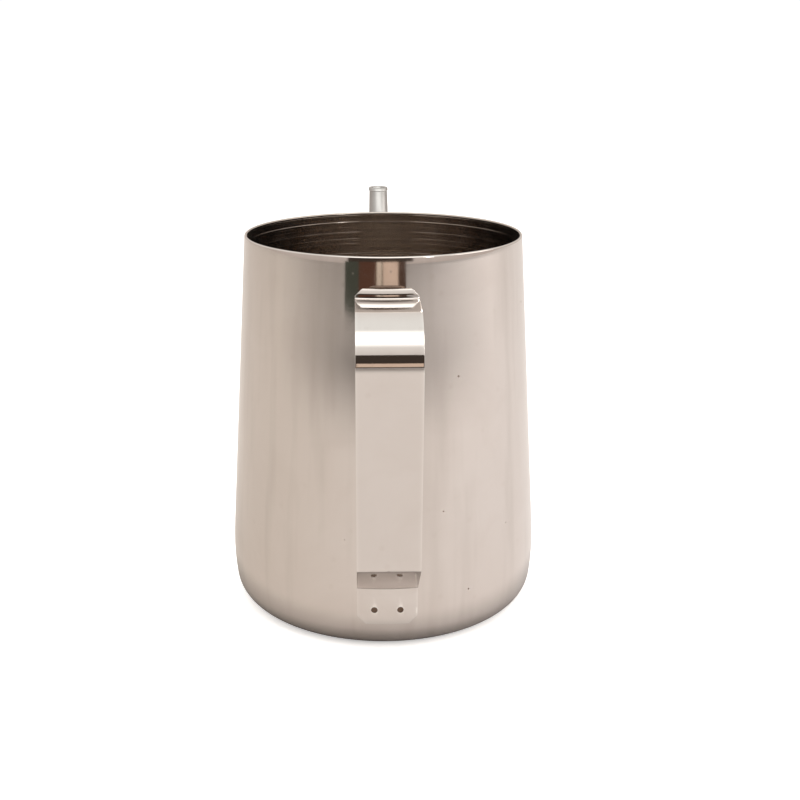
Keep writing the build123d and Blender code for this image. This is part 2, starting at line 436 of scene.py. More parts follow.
def make_strap():
    """A strip bent into a loop. Its foot is a tab and its top end a short lip, and both fit the wall."""
    line = strap_line()
    deselect()
    start = line[0]
    bpy.ops.mesh.primitive_grid_add(
        x_subdivisions=1, y_subdivisions=STRAP_COLUMNS, size=STRAP_WIDTH, location=(start[0], 0, start[1]))
    strap = bpy.context.object
    strap.name = "strap"
    settle()
    edit(strap)
    pick("verts", lambda vert: vert.co.x > start[0])
    bpy.ops.mesh.delete(type="VERT")
    bpy.ops.mesh.select_all(action="SELECT")
    bpy.ops.transform.translate(value=(STRAP_WIDTH / 2, 0, 0))
    for before, after in zip(line, line[1:]):
        pull(after[0] - before[0], after[1] - before[1])
    bpy.ops.mesh.select_all(action="SELECT")
    bpy.ops.mesh.remove_doubles(threshold=MM / 1000)
    leave()
    split_long_rows(strap)
    fit_to_wall(strap)
    trim_end_corners(strap)
    edit(strap, "FACE")
    bpy.ops.mesh.select_all(action="SELECT")
    face_outwards(strap)
    leave()
    add_modifier(
        strap, "SOLIDIFY", thickness=STRAP, offset=-1.0, use_even_offset=True, use_quality_normals=True)
    add_modifier(
        strap, "BEVEL", width=STRAP_EDGE_ROUND, segments=4, limit_method="ANGLE", angle_limit=radians(60),
        use_clamp_overlap=True, harden_normals=False)
    cut_away(strap, spot_cutters())
    smooth(strap, 40)
    return strap


def split_long_rows(strap):
    """Divides the strap's long straight runs along their length."""
    edit(strap, "EDGE")
    for shortest, cuts in ((30 * MM, 23), (8 * MM, 7)):
        pick("edges", lambda edge: edge.calc_length() > shortest)
        bpy.ops.mesh.subdivide(number_cuts=cuts)
    leave()


def face_outwards(strap):
    """Turns the open strip's faces so that the back of the loop faces away from the cup."""
    work = bmesh.from_edit_mesh(strap.data)
    work.faces.ensure_lookup_table()
    back = [face for face in work.faces
            if 0 < face.calc_center_median().z - HANDLE_MIDDLE_Z < 10 * MM]
    if back[0].normal.x > 0:
        bpy.ops.mesh.flip_normals()


# ---------------------------------------------------------------- welds on the handle

def make_spot_welds():
    """The fused metal at the foot tab's spot welds: dished discs with a low collar of squeezed-out metal."""
    discs = []
    for place, outwards in spot_places(STRAP - SPOT_DENT):
        deselect()
        bpy.ops.mesh.primitive_cylinder_add(
            vertices=40, radius=SPOT_RADIUS * 0.98, depth=STRAP - SPOT_DENT, end_fill_type="NGON",
            location=(0, 0, -(STRAP - SPOT_DENT) / 2))
        disc = bpy.context.object
        settle()
        edit(disc, "FACE")
        pick("faces", lambda face: face.normal.z > 0.9)
        for share, drop in ((0.22, 0.02), (0.3, -0.12), (0.45, -0.10), (0.6, -0.04)):
            bpy.ops.mesh.inset(thickness=share * 0.3 * SPOT_RADIUS)
            bpy.ops.transform.translate(value=(0, 0, drop * SPOT_RADIUS))
        leave()
        disc.rotation_euler = Vector((0, 0, 1)).rotation_difference(outwards).to_euler()
        disc.location = place
        take(disc)
        settle()
        discs.append(disc)
    pair = join("foot_spots", discs)
    smooth(pair, 50)
    return pair


def rippled_bead(name, path, radius, ripples, closed):
    """A round bead of weld along a path, in overlapping ripples."""
    curve = bpy.data.curves.new(name, "CURVE")
    curve.dimensions = "3D"
    curve.bevel_depth = radius
    curve.bevel_resolution = 3
    curve.use_fill_caps = not closed
    spline = curve.splines.new("POLY")
    spline.points.add(len(path) - 1)
    for index, (point, place) in enumerate(zip(spline.points, path)):
        ripple = (index * ripples / len(path)) % 1
        point.co = (*place, 1)
        point.radius = 0.86 + 0.14 * sin(pi * ripple)
        if not closed:
            share = abs(2 * index / (len(path) - 1) - 1)
            point.radius *= sqrt(max(1 - share**4, 0.03))
    spline.use_cyclic_u = closed
    bead = bpy.data.objects.new(name, curve)
    bpy.context.scene.collection.objects.link(bead)
    take(bead)
    bpy.ops.object.convert(target="MESH")
    edit(bead)
    close_up(MM / 1000)
    smooth(bead, 60)
    return bead


def make_lip_bead():
    """The bead of weld on top of the strap's lip, against the wall."""
    half = LIP_BEAD_HEIGHT / 2
    radius = LIP_BEAD_DEPTH / 2
    z = LIP_TOP + half
    path = []
    for step in range(LIP_BEAD_RIPPLES * 6 + 1):
        y = (LIP_BEAD_LENGTH - 2 * radius) * (step / (LIP_BEAD_RIPPLES * 6) - 0.5)
        path.append(Vector((-sqrt(wall_radius(z, radius) ** 2 - y**2), y, z)))
    return rippled_bead("lip_bead", path, half, LIP_BEAD_RIPPLES, False)


# ---------------------------------------------------------------- spout

def tube_radius(share):
    """The spout's outer radius at a share of its length: wide at the root, slim in the neck and mouth."""
    if share < NECK_START:
        return NECK_RADIUS + (ROOT_RADIUS - NECK_RADIUS) * (1 - share / NECK_START) ** 2
    return NECK_RADIUS + (MOUTH_RADIUS - NECK_RADIUS) * ((share - NECK_START) / (1 - NECK_START)) ** 2


def spout_line():
    """The tube's centre line: its points, and at each the angle of its direction above +X."""
    points = [Vector(SPOUT_ROOT)]
    points += [Vector(point) for point in corner_arc(
        SPOUT_ROOT, SPOUT_LOWER_BEND, SPOUT_UPPER_BEND, SPOUT_LOWER_ARC, 22)]
    points += [Vector(point) for point in corner_arc(
        SPOUT_LOWER_BEND, SPOUT_UPPER_BEND, SPOUT_END, SPOUT_UPPER_ARC, 18)]
    points.append(Vector(SPOUT_END))
    return points


def stations():
    """Evenly spread places along the centre line, as (point, direction angle, share of the length)."""
    line = spout_line()
    lengths = [(after - before).length for before, after in zip(line, line[1:])]
    whole = sum(lengths)
    gone = 0.0
    found = []
    for before, after, length in zip(line, line[1:], lengths):
        pieces = max(1, round(length / (1.6 * MM)))
        for piece in range(pieces):
            share = piece / pieces
            found.append((before.lerp(after, share), (gone + length * share) / whole))
        gone += length
    found.append((line[-1], 1.0))
    placed = []
    for index, (point, share) in enumerate(found):
        before = found[max(index - 1, 0)][0]
        after = found[min(index + 1, len(found) - 1)][0]
        along = after - before
        placed.append((point, atan2(along.y, along.x), share))
    return placed


def make_tube(name, grow, stop=1.0):
    """The spout filled solid, its surface moved outwards by grow, up to a share of its length."""
    placed = [place for place in stations() if place[2] <= stop]
    point, angle, share = placed[0]
    radius = tube_radius(share) + grow
    deselect()
    bpy.ops.mesh.primitive_circle_add(
        vertices=TUBE_SIDES, radius=radius, fill_type="NGON", location=(point.x, 0, point.y),
        rotation=(0, pi / 2 - angle, 0))
    tube = bpy.context.object
    tube.name = name
    settle()
    edit(tube, "FACE")
    bpy.ops.mesh.select_all(action="SELECT")
    for (point, angle, share), (next_point, next_angle, next_share) in zip(placed, placed[1:]):
        move = next_point - point
        pull(move.x, move.y)
        middle = (next_point.x, 0, next_point.y)
        bend = next_angle - angle
        if abs(bend) > 1e-7:
            bpy.ops.transform.rotate(value=bend, orient_axis="Y", center_override=middle)
        next_radius = tube_radius(next_share) + grow
        bpy.ops.transform.resize(value=(next_radius / radius,) * 3, center_override=middle)
        radius = next_radius
    bpy.ops.mesh.select_all(action="SELECT")
    bpy.ops.mesh.normals_make_consistent(inside=False)
    leave()
    return tube


def make_block(name, low, high):
    """A plain block between two corners, to cut with."""
    deselect()
    middle = [(a + b) / 2 for a, b in zip(low, high)]
    bpy.ops.mesh.primitive_cube_add(size=1, location=middle)
    block = bpy.context.object
    block.name = name
    block.scale = [b - a for a, b in zip(low, high)]
    settle()
    return block


def make_filled_cup(name, grow):
    """The cup filled solid up to its rim, to cut with."""
    filled = start_chain(name, 0, BASE_RECESS)
    bottom = on_arc(BELLY_CENTRE, BELLY_ARC + grow, -CORNER_ANGLE)
    pull(bottom[0], bottom[1] - BASE_RECESS)
    turn(BELLY_CENTRE, CORNER_ANGLE + TAPER, 14)
    wall_foot = on_arc(BELLY_CENTRE, BELLY_ARC + grow, TAPER)
    wall_top = on_arc(RIM_CENTRE, WALL / 2 + grow, TAPER)
    pull(wall_top[0] - wall_foot[0], wall_top[1] - wall_foot[1])
    pull(-wall_top[0], 0)
    bpy.ops.mesh.select_all(action="SELECT")
    bpy.ops.mesh.spin(steps=CUP_SEGMENTS, angle=ROUND, center=(0, 0, 0), axis=(0, 0, 1))
    close_up(MM / 100)
    return filled


def make_spout():
    """A tapered gooseneck tube. Its root fits the wall, and its mouth is cut level and has a small lip."""
    tube = make_tube("spout", 0)
    cut_away(tube, make_filled_cup("filled_cup", 0))
    top = make_block("top_block", (50 * MM, -20 * MM, MOUTH_Z), (100 * MM, 20 * MM, 140 * MM))
    cut_away(tube, top)
    raise_lip(tube)
    cut_away(tube, make_tube("bore", -SPOUT_WALL))
    edit(tube, "EDGE")
    pick("edges", lambda edge: min(vert.co.z for vert in edge.verts) > MOUTH_Z - MM / 100
         and len(edge.link_faces) == 2 and edge.calc_face_angle() > radians(30))
    bpy.ops.mesh.bevel(offset=0.14 * MM, segments=3, affect="EDGES")
    leave()
    smooth(tube, 40)
    return tube


def raise_lip(tube):
    """Swells the last part of the outside below the mouth into a small lip."""
    edit(tube, "FACE")
    for below in (MOUTH_LIP_HEIGHT, MOUTH_LIP_HEIGHT + 0.12 * MM):
        bpy.ops.mesh.select_all(action="SELECT")
        bpy.ops.mesh.bisect(plane_co=(0, 0, MOUTH_Z - below), plane_no=(0, 0, 1))
    middle = spout_middle(MOUTH_Z - MOUTH_LIP_HEIGHT / 2)
    pick("verts", lambda vert: vert.co.z > MOUTH_Z - MOUTH_LIP_HEIGHT - MM / 100)
    grown = (MOUTH_RADIUS + MOUTH_LIP_STAND_OUT) / MOUTH_RADIUS
    bpy.ops.transform.resize(value=(grown, grown, 1), center_override=(middle, 0, MOUTH_Z))
    leave()


def spout_middle(z):
    """The x of the tube's centre line at a height near the mouth."""
    line = spout_line()
    for before, after in zip(line, line[1:]):
        if before.y <= z <= after.y:
            return before.lerp(after, (z - before.y) / (after.y - before.y)).x
    return SPOUT_END[0]


# ---------------------------------------------------------------- root weld

def bead_path():
    """The closed line where the tube's outer surface meets the wall, a little proud of both."""
    placed = stations()
    path = []
    for step in range(BEAD_POINTS):
        around = ROUND * step / BEAD_POINTS
        path.append(wall_crossing(placed, around))
    return path


def wall_crossing(placed, around):
    """Where one lengthwise line of the tube's surface comes out of the wall."""
    before = None
    for point, angle, share in placed:
        radius = tube_radius(share) + 0.1 * MM
        out = radius * cos(around)
        side = radius * sin(around)
        spot = Vector((point.x - out * sin(angle), side, point.y + out * cos(angle)))
        beyond = hypot(spot.x, spot.y) - wall_radius(spot.z, 0.1 * MM)
        if beyond > 0 and before is not None:
            last, depth = before
            return last.lerp(spot, -depth / (beyond - depth))
        before = (spot, beyond)
    return before[0]


def make_root_weld():
    """The bead of weld in the corner between the tube's root and the wall."""
    return rippled_bead("root_weld", bead_path(), BEAD_RADIUS, BEAD_RIPPLES, True)


# ---------------------------------------------------------------- finishes

def new_group(name, inputs, outputs):
    """A shader node group with named value sockets. Returns it with its input and output nodes."""
    group = bpy.data.node_groups.new(name, "ShaderNodeTree")
    for label, default in inputs:
        socket = group.interface.new_socket(name=label, in_out="INPUT", socket_type="NodeSocketFloat")
        socket.default_value = default
    for label in outputs:
        group.interface.new_socket(name=label, in_out="OUTPUT", socket_type="NodeSocketFloat")
    entry = group.nodes.new("NodeGroupInput")
    leaving = group.nodes.new("NodeGroupOutput")
    return group, entry, leaving


def node(tree, kind, **values):
    """A node with its settings."""
    made = tree.nodes.new(kind)
    for name, value in values.items():
        setattr(made, name, value)
    return made


def maths(tree, operation, first, second=None, third=None, clamp=False):
    """A maths node. Each operand is a number or another node's output. Returns its output."""
    made = node(tree, "ShaderNodeMath", operation=operation, use_clamp=clamp)
    for index, operand in enumerate((first, second, third)):
        if operand is None:
            continue
        if isinstance(operand, (int, float)):
            made.inputs[index].default_value = operand
        else:
            tree.links.new(operand, made.inputs[index])
    return made.outputs[0]


def ramp(tree, value, start, end):
    """Maps a value along a straight run between two stops, each (place, value). Returns the output."""
    made = node(tree, "ShaderNodeMapRange", clamp=True)
    tree.links.new(value, made.inputs["Value"])
    made.inputs["From Min"].default_value = start[0]
    made.inputs["From Max"].default_value = end[0]
    made.inputs["To Min"].default_value = start[1]
    made.inputs["To Max"].default_value = end[1]
    return made.outputs["Result"]


def place_on_piece(tree):
    """The point on the piece, in metres."""
    return node(tree, "ShaderNodeTexCoord").outputs["Object"]


def stretched(tree, point, stretch, turned=(0, 0, 0)):
    """The point turned and then scaled along each axis."""
    made = node(tree, "ShaderNodeMapping", vector_type="POINT")
    made.inputs["Rotation"].default_value = turned
    made.inputs["Scale"].default_value = stretch
    tree.links.new(point, made.inputs["Vector"])
    return made.outputs["Vector"]


def noise(tree, point, scale, detail=2.0, roughness=0.5, distortion=0.0):
    """Noise at a point. Returns a value from 0 to 1."""
    made = node(tree, "ShaderNodeTexNoise", noise_dimensions="3D")
    made.inputs["Scale"].default_value = scale
    made.inputs["Detail"].default_value = detail
    made.inputs["Roughness"].default_value = roughness
    made.inputs["Distortion"].default_value = distortion
    tree.links.new(point, made.inputs["Vector"])
    return made.outputs["Fac"]


def line_noise(tree, value, scale, detail=2.0, roughness=0.6):
    """Noise that varies along one value only."""
    made = node(tree, "ShaderNodeTexNoise", noise_dimensions="1D")
    made.inputs["Scale"].default_value = scale
    made.inputs["Detail"].default_value = detail
    made.inputs["Roughness"].default_value = roughness
    tree.links.new(value, made.inputs["W"])
    return made.outputs["Fac"]


def turning_marks_group():
    """Rings left by turning and polishing: fine lines and broader bands, over walls and base alike."""
    group, entry, leaving = new_group(
        "turning_marks", [("Fine", 1.0), ("Coarse", 1.0)], ["Height", "Streak"])
    axes = node(group, "ShaderNodeSeparateXYZ")
    group.links.new(place_on_piece(group), axes.inputs[0])
    square = maths(group, "ADD", maths(group, "POWER", axes.outputs["X"], 2),
                   maths(group, "POWER", axes.outputs["Y"], 2))
    along = maths(group, "ADD", maths(group, "SQRT", square), axes.outputs["Z"])
    fine = line_noise(group, along, 2600, 2.0)
    coarse = line_noise(group, along, 420, 3.0)
    grooves = line_noise(group, along, 950, 1.0)
    patchy = noise(group, place_on_piece(group), 70, 3.0)
    fine_part = maths(group, "MULTIPLY", maths(group, "MULTIPLY", fine, entry.outputs["Fine"]), patchy)
    broad = maths(group, "ADD", coarse, maths(group, "MULTIPLY", grooves, 0.6))
    coarse_part = maths(group, "MULTIPLY", broad, entry.outputs["Coarse"])
    group.links.new(maths(group, "ADD", fine_part, coarse_part), leaving.inputs["Height"])
    streak = maths(group, "MULTIPLY", ramp(group, coarse, (0.45, 0.0), (0.75, 1.0)), patchy)
    group.links.new(streak, leaving.inputs["Streak"])
    return group


def scratches_group():
    """Hairline scratches in two directions, in patches."""
    group, entry, leaving = new_group(
        "hairline_scratches", [("Scale", 1.0), ("Amount", 0.5)], ["Mask"])
    point = place_on_piece(group)
    lines = []
    for turned, stretch, scale in (
            ((0.35, 0.2, 0.5), (900, 900, 26), 1.0),
            ((-0.5, 0.9, 0.2), (24, 1100, 700), 1.0)):
        grain = noise(group, stretched(group, point, stretch, turned), scale, 1.0, 0.4, 0.25)
        lines.append(ramp(group, grain, (0.70, 0.0), (0.76, 1.0)))
    both = maths(group, "MAXIMUM", lines[0], lines[1])
    patch = noise(group, point, 95, 2.0)
    least = maths(group, "SUBTRACT", 1.0, entry.outputs["Amount"])
    kept = maths(group, "MULTIPLY", maths(group, "SUBTRACT", patch, least), 6.0, clamp=True)
    group.links.new(maths(group, "MULTIPLY", both, kept), leaving.inputs["Mask"])
    return group


def smudges_group():
    """Handling marks: wide soft smears and small water spots."""
    group, entry, leaving = new_group("smudges", [("Amount", 1.0)], ["Value"])
    point = place_on_piece(group)
    wide = noise(group, point, 38, 4.0, 0.62, 0.8)
    wide = ramp(group, wide, (0.42, 0.0), (0.72, 1.0))
    spots = node(group, "ShaderNodeTexVoronoi", feature="F1")
    spots.inputs["Scale"].default_value = 210
    group.links.new(point, spots.inputs["Vector"])
    spot = ramp(group, spots.outputs["Distance"], (0.10, 1.0), (0.22, 0.0))
    chance = node(group, "ShaderNodeSeparateColor")
    group.links.new(spots.outputs["Color"], chance.inputs[0])
    kept = maths(group, "GREATER_THAN", chance.outputs[0], 0.82)
    marks = maths(group, "MULTIPLY", maths(group, "MULTIPLY", spot, kept), 0.6)
    total = maths(group, "MULTIPLY", maths(group, "ADD", wide, marks), entry.outputs["Amount"])
    group.links.new(total, leaving.inputs["Value"])
    return group


def specks_group():
    """Tiny dark pits and specks, a few to the square centimetre."""
    group, entry, leaving = new_group("specks", [("Share", 0.1), ("Size", 0.1)], ["Mask"])
    point = place_on_piece(group)
    cells = node(group, "ShaderNodeTexVoronoi", feature="F1")
    cells.inputs["Scale"].default_value = 260
    group.links.new(point, cells.inputs["Vector"])
    chance = node(group, "ShaderNodeSeparateColor")
    group.links.new(cells.outputs["Color"], chance.inputs[0])
    kept = maths(group, "LESS_THAN", chance.outputs[1], entry.outputs["Share"])
    inside = maths(group, "LESS_THAN", cells.outputs["Distance"], entry.outputs["Size"])
    group.links.new(maths(group, "MULTIPLY", kept, inside), leaving.inputs["Mask"])
    return group


def edges_group():
    """Where a piece's edges stand out, and are worn bright."""
    group, entry, leaving = new_group("worn_edges", [("Reach", 1.0)], ["Mask"])
    shape = node(group, "ShaderNodeNewGeometry")
    raised = maths(group, "SUBTRACT", shape.outputs["Pointiness"], 0.5)
    worn = maths(group, "MULTIPLY", maths(group, "MULTIPLY", raised, 9.0), entry.outputs["Reach"], clamp=True)
    group.links.new(worn, leaving.inputs["Mask"])
    return group


def use_group(tree, group, **values):
    """Places a node group in a material with its own values."""
    made = node(tree, "ShaderNodeGroup")
    made.node_tree = group
    for name, value in values.items():
        made.inputs[name].default_value = value
    return made.outputs


def new_steel(name):
    """A metal material. Returns it with its tree and its shader."""
    material = bpy.data.materials.new(name)
    material.use_nodes = True
    tree = material.node_tree
    shader = tree.nodes["Principled BSDF"]
    shader.inputs["Metallic"].default_value = 1.0
    shader.inputs["IOR"].default_value = 2.5
    return material, tree, shader


def blend_colour(tree, factor, first, second):
    """Mixes two colours, each a fixed one or another node's output, by a varying factor."""
    made = node(tree, "ShaderNodeMix", data_type="RGBA")
    tree.links.new(factor, made.inputs["Factor"])
    for socket, colour in ((made.inputs["A"], first), (made.inputs["B"], second)):
        if isinstance(colour, tuple):
            socket.default_value = (*colour, 1)
        else:
            tree.links.new(colour, socket)
    return made.outputs["Result"]


def weighted_sum(tree, start, *terms):
    """A start value plus every term's value times its weight, each term (value, weight)."""
    total = start
    for value, weight in terms:
        total = maths(tree, "MULTIPLY_ADD", value, weight, total)
    return total


def layered(tree, colour, *layers):
    """A colour with others laid over it in turn, each layer (mask, strength, colour)."""
    for mask, strength, over in layers:
        factor = mask if strength == 1 else maths(tree, "MULTIPLY", mask, strength)
        colour = blend_colour(tree, factor, colour, over)
    return colour


def bump(tree, shader, height, distance):
    """Feeds a height into the shader's normal."""
    made = node(tree, "ShaderNodeBump")
    made.inputs["Strength"].default_value = 1.0
    made.inputs["Distance"].default_value = distance
    tree.links.new(height, made.inputs["Height"])
    tree.links.new(made.outputs["Normal"], shader.inputs["Normal"])


def dress(tree, shader, colour, rough, height):
    """Gives the shader its varying colour and roughness, and its relief in millimetres."""
    tree.links.new(colour, shader.inputs["Base Color"])
    tree.links.new(rough, shader.inputs["Roughness"])
    bump(tree, shader, height, MM)


def polished_wall(groups):
    """The cup's polished outside: near mirror, with smudges, hairlines, upright streaks and slow waves."""
    material, tree, shader = new_steel("polished_wall")
    smudge = use_group(tree, groups["smudges"], Amount=1.0)["Value"]
    scratch = use_group(tree, groups["scratches"], Amount=0.60)["Mask"]
    speck = use_group(tree, groups["specks"], Share=0.05, Size=0.09)["Mask"]
    rings = use_group(tree, groups["rings"], Fine=0.4, Coarse=0.6)
    worn = use_group(tree, groups["edges"], Reach=1.0)["Mask"]
    point = place_on_piece(tree)
    cast = noise(tree, point, 16, 2.0)
    streaks = noise(tree, stretched(tree, point, (95, 95, 7)), 1.0, 3.0, 0.6)
    streaks = ramp(tree, streaks, (0.50, 0.0), (0.80, 0.75))
    wave = noise(tree, stretched(tree, point, (1, 1, 0.55)), 42, 1.5, 0.4)
    colour = blend_colour(tree, cast, (0.645, 0.600, 0.570), (0.675, 0.628, 0.592))
    colour = layered(
        tree, colour, (smudge, 0.32, (0.57, 0.51, 0.47)), (streaks, 1, (0.50, 0.455, 0.42)),
        (worn, 1, (0.78, 0.75, 0.72)), (speck, 0.7, (0.20, 0.15, 0.12)))
    rough = weighted_sum(tree, 0.045, (smudge, 0.07), (scratch, 0.10), (speck, 0.25))
    height = weighted_sum(
        tree, 0.0, (wave, 0.065), (rings["Height"], 0.0006), (scratch, -0.0010), (speck, -0.01))
    dress(tree, shader, colour, rough, height)
    return material


def turned_inside(groups):
    """The cup's inside: satin steel with clear rings from turning."""
    material, tree, shader = new_steel("turned_inside")
    rings = use_group(tree, groups["rings"], Fine=0.3, Coarse=1.0)
    smudge = use_group(tree, groups["smudges"], Amount=1.0)["Value"]
    cast = noise(tree, place_on_piece(tree), 24, 3.0)
    colour = blend_colour(tree, cast, (0.50, 0.46, 0.42), (0.58, 0.52, 0.47))
    colour = layered(tree, colour, (rings["Streak"], 0.5, (0.70, 0.67, 0.63)))
    rough = weighted_sum(tree, 0.13, (smudge, 0.10))
    dress(tree, shader, colour, rough, weighted_sum(tree, 0.0, (rings["Height"], 0.26)))
    return material


def polished_strap(groups):
    """The handle's strip: polished, with fine marks along it, hairlines from hands, and bright worn edges."""
    material, tree, shader = new_steel("polished_strap")
    smudge = use_group(tree, groups["smudges"], Amount=1.0)["Value"]
    scratch = use_group(tree, groups["scratches"], Amount=0.62)["Mask"]
    speck = use_group(tree, groups["specks"], Share=0.05, Size=0.10)["Mask"]
    worn = use_group(tree, groups["edges"], Reach=2.4)["Mask"]
    point = place_on_piece(tree)
    drawn = noise(tree, stretched(tree, point, (60, 900, 12)), 1.0, 2.0)
    cast = noise(tree, point, 40, 3.0)
    wave = noise(tree, point, 60, 1.0)
    colour = blend_colour(tree, cast, (0.640, 0.600, 0.575), (0.680, 0.640, 0.610))
    colour = layered(
        tree, colour, (smudge, 0.30, (0.55, 0.49, 0.45)), (worn, 1, (0.82, 0.80, 0.77)),
        (speck, 0.7, (0.18, 0.13, 0.10)))
    rough = weighted_sum(tree, 0.055, (smudge, 0.06), (scratch, 0.14))
    height = weighted_sum(tree, 0.0, (drawn, 0.0012), (wave, 0.020), (scratch, -0.0012), (speck, -0.01))
    dress(tree, shader, colour, rough, height)
    return material


def satin_tube(groups):
    """The spout's drawn tube: duller than the cup, with lengthwise drawing marks."""
    material, tree, shader = new_steel("satin_tube")
    smudge = use_group(tree, groups["smudges"], Amount=1.0)["Value"]
    scratch = use_group(tree, groups["scratches"], Amount=0.6)["Mask"]
    speck = use_group(tree, groups["specks"], Share=0.08, Size=0.12)["Mask"]
    worn = use_group(tree, groups["edges"], Reach=0.6)["Mask"]
    point = place_on_piece(tree)
    drawn = noise(tree, stretched(tree, point, (500, 900, 20)), 1.0, 2.0)
    cast = noise(tree, point, 50, 3.0)
    colour = blend_colour(tree, cast, (0.38, 0.375, 0.365), (0.43, 0.425, 0.415))
    colour = layered(
        tree, colour, (smudge, 0.15, (0.50, 0.47, 0.44)), (worn, 1, (0.80, 0.79, 0.77)),
        (speck, 0.6, (0.25, 0.21, 0.18)))
    rough = weighted_sum(tree, 0.33, (smudge, 0.10), (scratch, 0.12))
    dress(tree, shader, colour, rough, weighted_sum(tree, 0.0, (drawn, 0.003), (scratch, -0.0015)))
    return material


def burnt_weld(groups):
    """The handle's weld metal: browned by heat, rough and dull."""
    material, tree, shader = new_steel("burnt_weld")
    point = place_on_piece(tree)
    grain = noise(tree, point, 1500, 4.0, 0.7)
    patch = noise(tree, point, 500, 2.0)
    smudge = use_group(tree, groups["smudges"], Amount=1.0)["Value"]
    colour = blend_colour(tree, patch, (0.10, 0.065, 0.045), (0.26, 0.18, 0.13))
    colour = layered(tree, colour, (smudge, 0.4, (0.16, 0.13, 0.13)))
    rough = weighted_sum(tree, 0.38, (grain, 0.25))
    dress(tree, shader, colour, rough, weighted_sum(tree, 0.0, (grain, 0.04)))
    return material


def buffed_bead(groups):
    """The root weld: steel bead, buffed on top, with straw and brown heat tint in its hollows."""
    material, tree, shader = new_steel("buffed_bead")
    point = place_on_piece(tree)
    grain = noise(tree, point, 900, 4.0, 0.65)
    patch = noise(tree, point, 180, 2.0)
    worn = use_group(tree, groups["edges"], Reach=1.5)["Mask"]
    scratch = use_group(tree, groups["scratches"], Amount=0.8)["Mask"]
    colour = blend_colour(tree, patch, (0.34, 0.27, 0.21), (0.56, 0.50, 0.43))
    colour = layered(tree, colour, (worn, 1, (0.70, 0.68, 0.65)))
    rough = weighted_sum(tree, 0.24, (grain, 0.2), (scratch, 0.1))
    dress(tree, shader, colour, rough, weighted_sum(tree, 0.0, (grain, 0.05)))
    return material


# ---------------------------------------------------------------- studio

def glow(name, colour, strength):
    """A plain emitting material for boards in the studio."""
    material = bpy.data.materials.new(name)
    material.use_nodes = True
    tree = material.node_tree
    tree.nodes.remove(tree.nodes["Principled BSDF"])
    shader = node(tree, "ShaderNodeEmission")
    shader.inputs["Color"].default_value = (*colour, 1)
    shader.inputs["Strength"].default_value = strength
    tree.links.new(shader.outputs[0], tree.nodes["Material Output"].inputs["Surface"])
    return material


def board(name, x, right, left, bottom, top, colour):
    """An upright board facing the cup, seen only in reflections. It runs from right to left in y."""
    deselect()
    middle = (x, (left + right) / 2, (bottom + top) / 2)
    bpy.ops.mesh.primitive_plane_add(size=1, location=middle, rotation=(0, pi / 2, 0))
    made = bpy.context.object
    made.name = name
    made.scale = (top - bottom, left - right, 1)
    settle()
    made.data.materials.append(glow(name, colour, 1.0))
    made.visible_camera = False


def aimed(place, towards):
    """The rotation that turns a light's or a board's face from a place towards a point."""
    return (Vector(towards) - Vector(place)).to_track_quat("-Z", "Y").to_euler()


def soft_board(name, place, towards, width, height, fade, colour, strength):
    """A lit board whose brightness fades out towards its edges, over a share of its size."""
    deselect()
    bpy.ops.mesh.primitive_plane_add(size=1, location=(0, 0, 0))
    made = bpy.context.object
    made.name = name
    made.scale = (width, height, 1)
    settle()
    made.location = place
    made.rotation_euler = aimed(place, towards)
    material = glow(name, colour, strength)
    tree = material.node_tree
    axes = node(tree, "ShaderNodeSeparateXYZ")
    tree.links.new(place_on_piece(tree), axes.inputs[0])
    across = fading(tree, axes.outputs["X"], width / 2, fade)
    along = fading(tree, axes.outputs["Y"], height / 2, fade)
    choose = node(tree, "ShaderNodeMixShader")
    clear = node(tree, "ShaderNodeBsdfTransparent")
    tree.links.new(maths(tree, "MULTIPLY", across, along), choose.inputs["Fac"])
    tree.links.new(clear.outputs[0], choose.inputs[1])
    tree.links.new(tree.nodes["Emission"].outputs[0], choose.inputs[2])
    tree.links.new(choose.outputs[0], tree.nodes["Material Output"].inputs["Surface"])
    made.data.materials.append(material)
    made.visible_camera = False


def fading(tree, value, half, fade):
    """One in the middle of a board, and a smooth fall to nothing at its half width."""
    lost = smooth_step(tree, maths(tree, "ABSOLUTE", value), (half * (1 - fade), half))
    return maths(tree, "SUBTRACT", 1.0, lost)


def colour_stops(tree, value, stops):
    """A row of colours along a value from 0 to 1, each (place, colour)."""
    made = node(tree, "ShaderNodeValToRGB")
    tree.links.new(value, made.inputs["Fac"])
    points = made.color_ramp.elements
    while len(points) < len(stops):
        points.new(0.5)
    for point, (place, colour) in zip(points, stops):
        point.position = place
        point.color = (*colour, 1)
    return made.outputs["Color"]


def smooth_step(tree, value, band):
    """Rises smoothly from 0 to 1 over a band of a value."""
    made = node(tree, "ShaderNodeMapRange", interpolation_type="SMOOTHSTEP", clamp=True)
    tree.links.new(value, made.inputs["Value"])
    made.inputs["From Min"].default_value = band[0]
    made.inputs["From Max"].default_value = band[1]
    return made.outputs["Result"]


